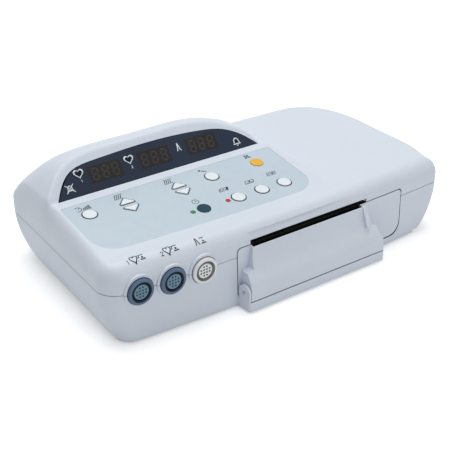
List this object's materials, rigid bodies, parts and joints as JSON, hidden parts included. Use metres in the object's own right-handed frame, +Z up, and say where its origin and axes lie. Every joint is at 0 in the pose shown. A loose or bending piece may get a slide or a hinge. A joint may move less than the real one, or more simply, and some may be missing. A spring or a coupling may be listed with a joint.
{
  "type": "fetal monitor",
  "caption": "Low desktop fetal monitor in a pale two-part casing, with an inclined key panel, an arched display hood, round front sockets and a hinged chart-recorder door.",
  "frame": {"origin": "on the table, under the middle of the unit's bounding box", "axes": "+X to the user's right along the front, -Y out of the front towards the user, +Z up"},
  "size_m": [0.454, 0.278, 0.1375],
  "materials": {
    "shell_plastic": "fine satin texture",
    "panel_film": "printed matt film",
    "key_white": "satin",
    "key_yellow": "satin",
    "key_teal": "satin",
    "lamp_green": "clear tinted lens",
    "lamp_red": "clear tinted lens",
    "board": "solder mask",
    "black_plastic": "moulded",
    "window_plastic": "smoked, polished",
    "digit_plastic": "dark filter",
    "socket_ring": "moulded",
    "socket_core": "moulded",
    "socket_white": "moulded",
    "steel": "ground",
    "zinc_sheet": "zinc plated",
    "ceramic_strip": "glazed",
    "aluminium_bar": "extruded",
    "motor_black": "black enamel",
    "brass": "turned",
    "gear_plastic": "acetal",
    "roller_rubber": "ground",
    "core_steel": "laminated, varnished",
    "winding_tape": "polyester tape over copper",
    "cone_paper": "pressed paper",
    "foot_rubber": "moulded"
  },
  "bodies": {
    "housing": {"bottom_shell": "shell_plastic", "top_shell": "shell_plastic", "keypad_overlay": "panel_film", "keypad_board": "board", "key_switches": "black_plastic", "power_lamp": "lamp_green", "record_lamp": "lamp_red", "display_window": "window_plastic", "display_board": "board", "rate_digits_1": "digit_plastic", "rate_digits_2": "digit_plastic", "contraction_digits": "digit_plastic", "ultrasound_socket_1_rim": "socket_ring", "ultrasound_socket_1_insert": "socket_core", "ultrasound_socket_2_rim": "socket_ring", "ultrasound_socket_2_insert": "socket_core", "contraction_socket_rim": "socket_white", "contraction_socket_insert": "socket_white", "socket_nuts": "aluminium_bar", "hinge_pins": "steel", "recorder_chassis": "zinc_sheet", "paper_well": "black_plastic", "print_head": "ceramic_strip", "head_heat_sink": "aluminium_bar", "stepper_motor": "motor_black", "idler_axle": "steel", "main_board": "board", "board_components": "black_plastic", "power_supply_board": "board", "transformer_core": "core_steel", "transformer_winding": "winding_tape", "supply_components": "black_plastic", "speaker_frame": "motor_black", "speaker_cone": "cone_paper", "mains_inlet": "black_plastic", "inlet_pins": "brass", "data_socket": "steel", "marker_jack": "black_plastic", "rubber_feet": "foot_rubber", "case_screws": "steel", "board_screws": "steel"},
    "door": {"recorder_door": "shell_plastic", "roller_bushes": "brass"},
    "platen": {"platen_shaft": "steel", "platen_roller": "roller_rubber", "platen_gear": "gear_plastic"},
    "idler": {"idler_gear": "gear_plastic"},
    "motor_rotor": {"motor_pinion": "brass"},
    "fuse_holder": {"fuse_drawer": "black_plastic"},
    "volume_key_body": {"volume_key": "key_white"},
    "test_key_body": {"test_key": "key_white"},
    "alarm_silence_key_body": {"alarm_silence_key": "key_yellow"},
    "power_key_body": {"power_key": "key_teal"},
    "record_key_body": {"record_key": "key_white"},
    "mark_key_body": {"mark_key": "key_white"},
    "paper_feed_key_body": {"paper_feed_key": "key_white"},
    "setting_up_key_body": {"setting_up_key": "key_white"},
    "setting_down_key_body": {"setting_down_key": "key_white"},
    "reference_up_key_body": {"reference_up_key": "key_white"},
    "reference_down_key_body": {"reference_down_key": "key_white"}
  },
  "joints": [
    {"name": "door_hinge", "type": "hinge", "parent": "housing", "child": "door", "pos_m": [0.0227, -0.1292, 0.0226], "axis": [1, 0, 0], "range_deg": [0, 70]},
    {"name": "platen_spin", "type": "hinge", "parent": "door", "child": "platen", "pos_m": [0.0175, -0.1025, 0.052], "axis": [1, 0, 0], "continuous": true},
    {"name": "idler_spin", "type": "hinge", "parent": "housing", "child": "idler", "pos_m": [0.1015, -0.07726, 0.03742], "axis": [1, 0, 0], "continuous": true},
    {"name": "motor_spin", "type": "hinge", "parent": "housing", "child": "motor_rotor", "pos_m": [0.1015, -0.06247, 0.06019], "axis": [1, 0, 0], "continuous": true},
    {"name": "fuse_slide", "type": "slide", "parent": "housing", "child": "fuse_holder", "axis": [0, 1, 0], "range_m": [0, 0.012]},
    {"name": "volume_key_press", "type": "slide", "parent": "housing", "child": "volume_key_body", "axis": [0, 0.1219, -0.9925], "range_m": [0, 0.0008], "stiffness_N_per_m": 500, "springref_m": -0.002},
    {"name": "test_key_press", "type": "slide", "parent": "housing", "child": "test_key_body", "axis": [0, 0.1219, -0.9925], "range_m": [0, 0.0008], "stiffness_N_per_m": 500, "springref_m": -0.002},
    {"name": "alarm_silence_key_press", "type": "slide", "parent": "housing", "child": "alarm_silence_key_body", "axis": [0, 0.1219, -0.9925], "range_m": [0, 0.0008], "stiffness_N_per_m": 500, "springref_m": -0.002},
    {"name": "power_key_press", "type": "slide", "parent": "housing", "child": "power_key_body", "axis": [0, 0.1219, -0.9925], "range_m": [0, 0.0008], "stiffness_N_per_m": 500, "springref_m": -0.002},
    {"name": "record_key_press", "type": "slide", "parent": "housing", "child": "record_key_body", "axis": [0, 0.1219, -0.9925], "range_m": [0, 0.0008], "stiffness_N_per_m": 500, "springref_m": -0.002},
    {"name": "mark_key_press", "type": "slide", "parent": "housing", "child": "mark_key_body", "axis": [0, 0.1219, -0.9925], "range_m": [0, 0.0008], "stiffness_N_per_m": 500, "springref_m": -0.002},
    {"name": "paper_feed_key_press", "type": "slide", "parent": "housing", "child": "paper_feed_key_body", "axis": [0, 0.1219, -0.9925], "range_m": [0, 0.0008], "stiffness_N_per_m": 500, "springref_m": -0.002},
    {"name": "setting_up_key_press", "type": "slide", "parent": "housing", "child": "setting_up_key_body", "axis": [0, 0.1219, -0.9925], "range_m": [0, 0.0008], "stiffness_N_per_m": 500, "springref_m": -0.002},
    {"name": "setting_down_key_press", "type": "slide", "parent": "housing", "child": "setting_down_key_body", "axis": [0, 0.1219, -0.9925], "range_m": [0, 0.0008], "stiffness_N_per_m": 500, "springref_m": -0.002},
    {"name": "reference_up_key_press", "type": "slide", "parent": "housing", "child": "reference_up_key_body", "axis": [0, 0.1219, -0.9925], "range_m": [0, 0.0008], "stiffness_N_per_m": 500, "springref_m": -0.002},
    {"name": "reference_down_key_press", "type": "slide", "parent": "housing", "child": "reference_down_key_body", "axis": [0, 0.1219, -0.9925], "range_m": [0, 0.0008], "stiffness_N_per_m": 500, "springref_m": -0.002}
  ],
  "couplings": [
    {"joint": "idler_spin", "follows": "platen_spin", "ratio": -0.45},
    {"joint": "motor_spin", "follows": "platen_spin", "ratio": 1.2857}
  ]
}
